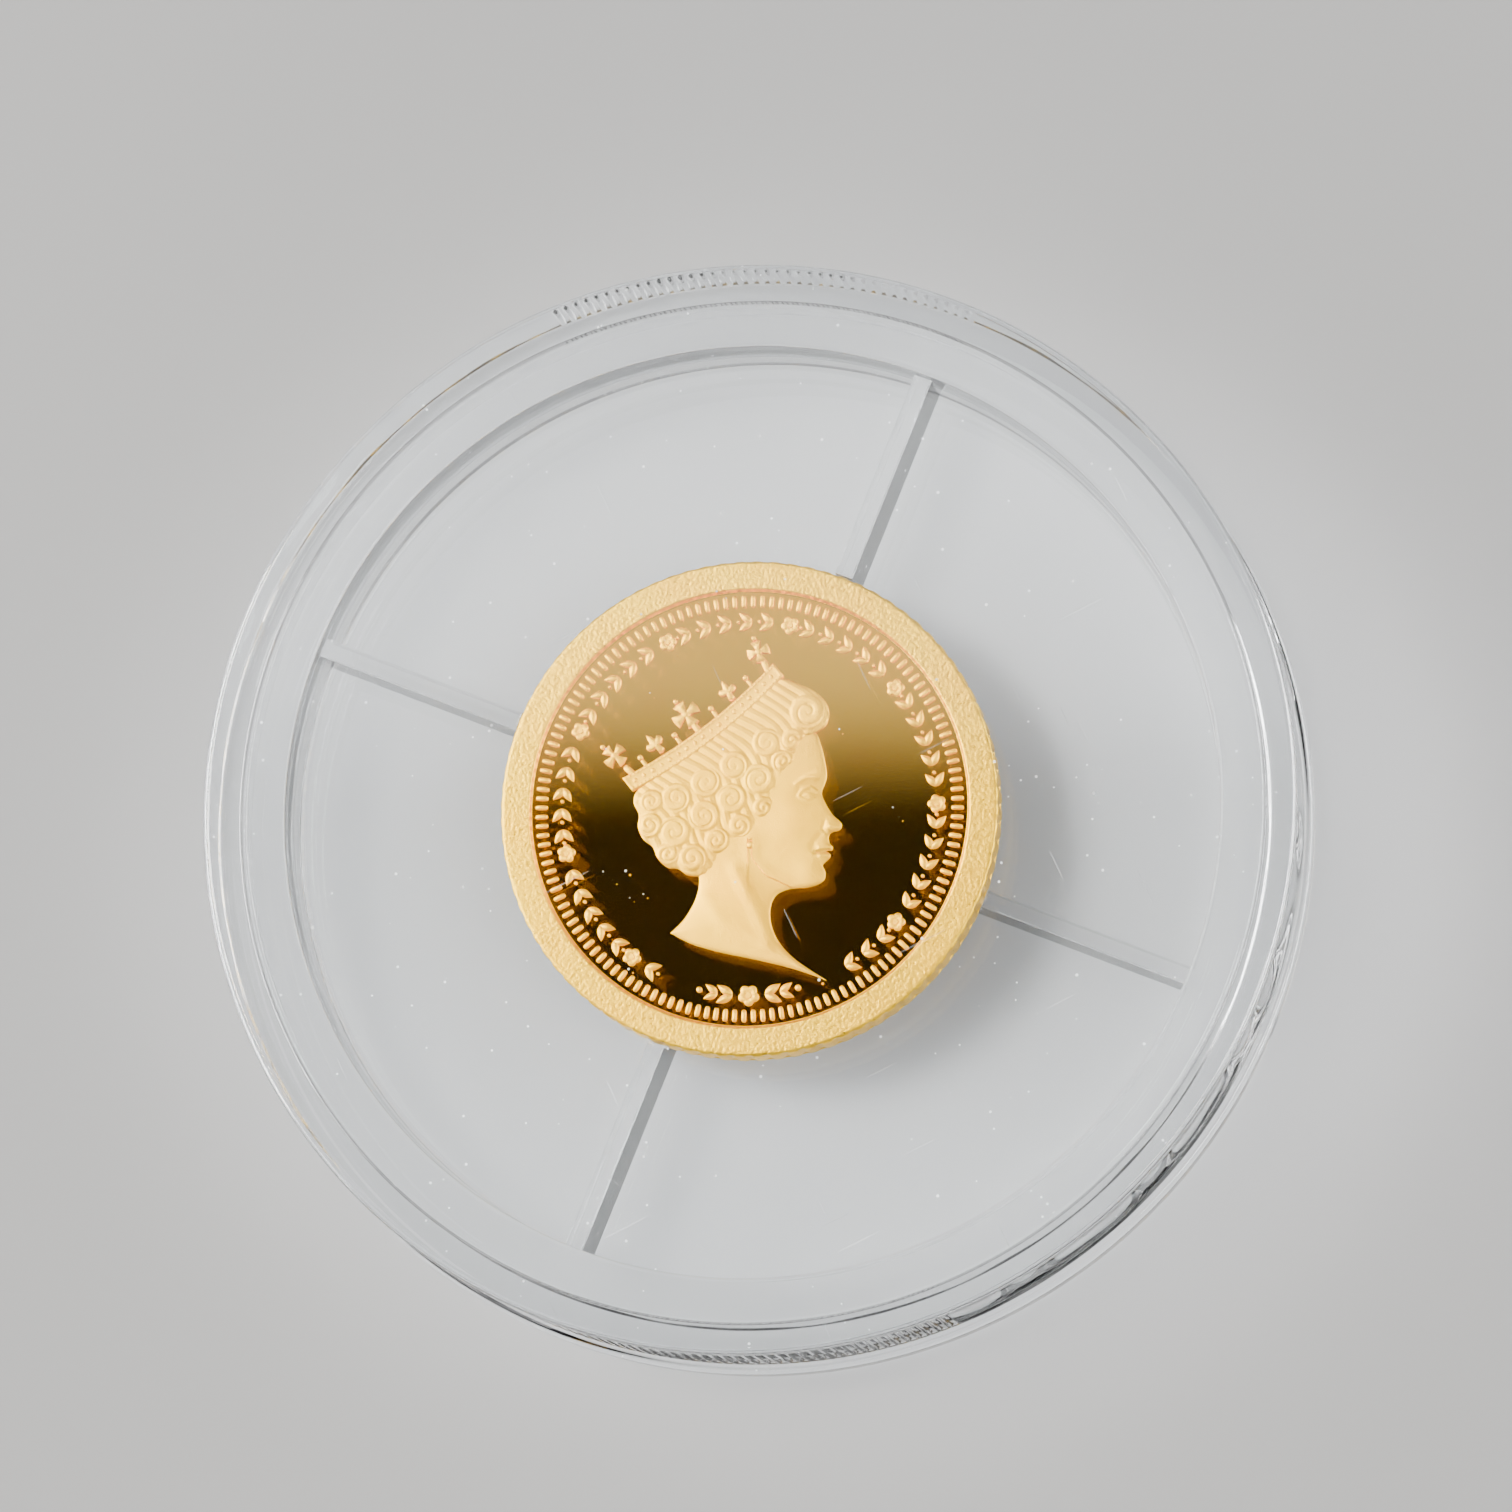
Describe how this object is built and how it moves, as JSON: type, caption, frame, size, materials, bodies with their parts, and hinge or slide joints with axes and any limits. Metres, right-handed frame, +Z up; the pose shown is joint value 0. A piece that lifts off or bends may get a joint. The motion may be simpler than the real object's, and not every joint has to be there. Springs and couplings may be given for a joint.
{
  "type": "coin capsule",
  "caption": "Clear round capsule whose radial ribs hold a small gold coin at its centre, under a lid that lifts straight off.",
  "frame": {"origin": "on the capsule's axis, at the flat underside of the base", "axes": "+Z up through the lid, along the axis on which the lid lifts off; +Y to the top of the coin's design; +X to the coin's right"},
  "size_m": [0.03, 0.03, 0.0047],
  "materials": {
    "clear_plastic": "clear moulded polystyrene, polished, with fine handling scratches",
    "coin_gold": "struck gold: mirror field, frosted relief, satin rim"
  },
  "bodies": {
    "base": {"capsule_base": "clear_plastic"},
    "lid": {"capsule_lid": "clear_plastic"},
    "coin": {"coin": "coin_gold"}
  },
  "joints": [
    {"name": "lid_lift", "type": "slide", "parent": "base", "child": "lid", "axis": [0, 0, 1], "range_m": [0, 0.02]},
    {"name": "coin_lift", "type": "slide", "parent": "base", "child": "coin", "axis": [0, 0, 1], "range_m": [0, 0.01]}
  ],
  "couplings": [
    {"joint": "coin_lift", "follows": "lid_lift", "ratio": 0.5}
  ]
}
